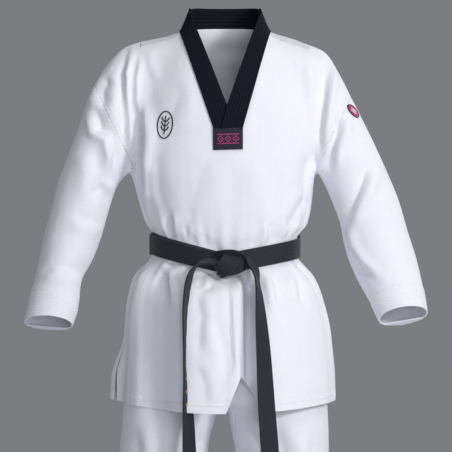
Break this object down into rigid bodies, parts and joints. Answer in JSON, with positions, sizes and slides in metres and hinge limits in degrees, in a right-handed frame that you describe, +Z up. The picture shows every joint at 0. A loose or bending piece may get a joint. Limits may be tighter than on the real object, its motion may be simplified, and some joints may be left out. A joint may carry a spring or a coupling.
{
  "type": "martial arts uniform",
  "caption": "White V-neck martial arts uniform with a black collar, a tied black belt and straight trousers, filled out as if worn.",
  "frame": {"origin": "middle of the neck at the height of the high shoulder points", "axes": "+Z up, the front faces -Y, +X to the wearer's left"},
  "size_m": [0.8162, 0.3437, 1.452],
  "materials": {
    "jacket_cloth": "matte cotton weave",
    "collar_cloth": "black twill with close rows of stitching",
    "mesh_cloth": "open mesh",
    "tab_cloth": "dark twill",
    "motif_thread": "satin embroidery",
    "emblem_thread": "satin embroidery",
    "patch_thread": "satin embroidery",
    "facing_cloth": "matte cotton weave",
    "belt_cloth": "black cotton satin with lengthwise stitching",
    "bar_thread": "metallic gold thread",
    "trouser_cloth": "matte cotton weave",
    "elastic": "covered elastic"
  },
  "bodies": {
    "jacket": {"jacket_front_panel": "jacket_cloth", "jacket_back_panel": "jacket_cloth", "left_neck_inset": "mesh_cloth", "right_neck_inset": "mesh_cloth", "collar_left_band": "collar_cloth", "collar_right_band": "collar_cloth", "collar_back_band": "collar_cloth", "collar_tab": "tab_cloth", "tab_motif": "motif_thread", "chest_emblem": "emblem_thread", "left_front_vent_facing": "facing_cloth", "right_front_vent_facing": "facing_cloth", "left_side_vent_facing": "facing_cloth", "right_side_vent_facing": "facing_cloth", "belt_inner_wrap": "belt_cloth", "belt_outer_wrap": "belt_cloth", "belt_knot": "belt_cloth", "trousers_waistband": "trouser_cloth", "trousers_front_rise": "trouser_cloth", "trousers_back_rise": "trouser_cloth", "crotch_gusset": "trouser_cloth", "waistband_elastic": "elastic"},
    "left_sleeve": {"left_sleeve": "jacket_cloth", "left_cuff_band": "jacket_cloth", "sleeve_patch": "patch_thread"},
    "right_sleeve": {"right_sleeve": "jacket_cloth", "right_cuff_band": "jacket_cloth"},
    "left_tail": {"belt_left_tail": "belt_cloth"},
    "right_tail": {"belt_right_tail": "belt_cloth", "belt_rank_bars": "bar_thread"},
    "left_leg": {"left_leg_front_panel": "trouser_cloth", "left_leg_back_panel": "trouser_cloth", "left_leg_hem": "trouser_cloth"},
    "right_leg": {"right_leg_front_panel": "trouser_cloth", "right_leg_back_panel": "trouser_cloth", "right_leg_hem": "trouser_cloth"}
  },
  "joints": [
    {"name": "left_sleeve_raise", "type": "hinge", "parent": "jacket", "child": "left_sleeve", "pos_m": [0.261, 0, -0.117], "axis": [0, -1, 0], "range_deg": [0, 60]},
    {"name": "left_tail_swing", "type": "hinge", "parent": "jacket", "child": "left_tail", "pos_m": [0.069, -0.146, -0.492], "axis": [-1, 0, 0], "range_deg": [0, 75]},
    {"name": "left_leg_swing", "type": "hinge", "parent": "jacket", "child": "left_leg", "pos_m": [0.104, 0, -0.7], "axis": [-1, 0, 0], "range_deg": [-10, 10]},
    {"name": "right_sleeve_raise", "type": "hinge", "parent": "jacket", "child": "right_sleeve", "pos_m": [-0.261, 0, -0.117], "axis": [0, 1, 0], "range_deg": [0, 60]},
    {"name": "right_tail_swing", "type": "hinge", "parent": "jacket", "child": "right_tail", "pos_m": [-0.037, -0.146, -0.465], "axis": [-1, 0, 0], "range_deg": [0, 75]},
    {"name": "right_leg_swing", "type": "hinge", "parent": "jacket", "child": "right_leg", "pos_m": [-0.104, 0, -0.7], "axis": [-1, 0, 0], "range_deg": [-10, 10]}
  ]
}
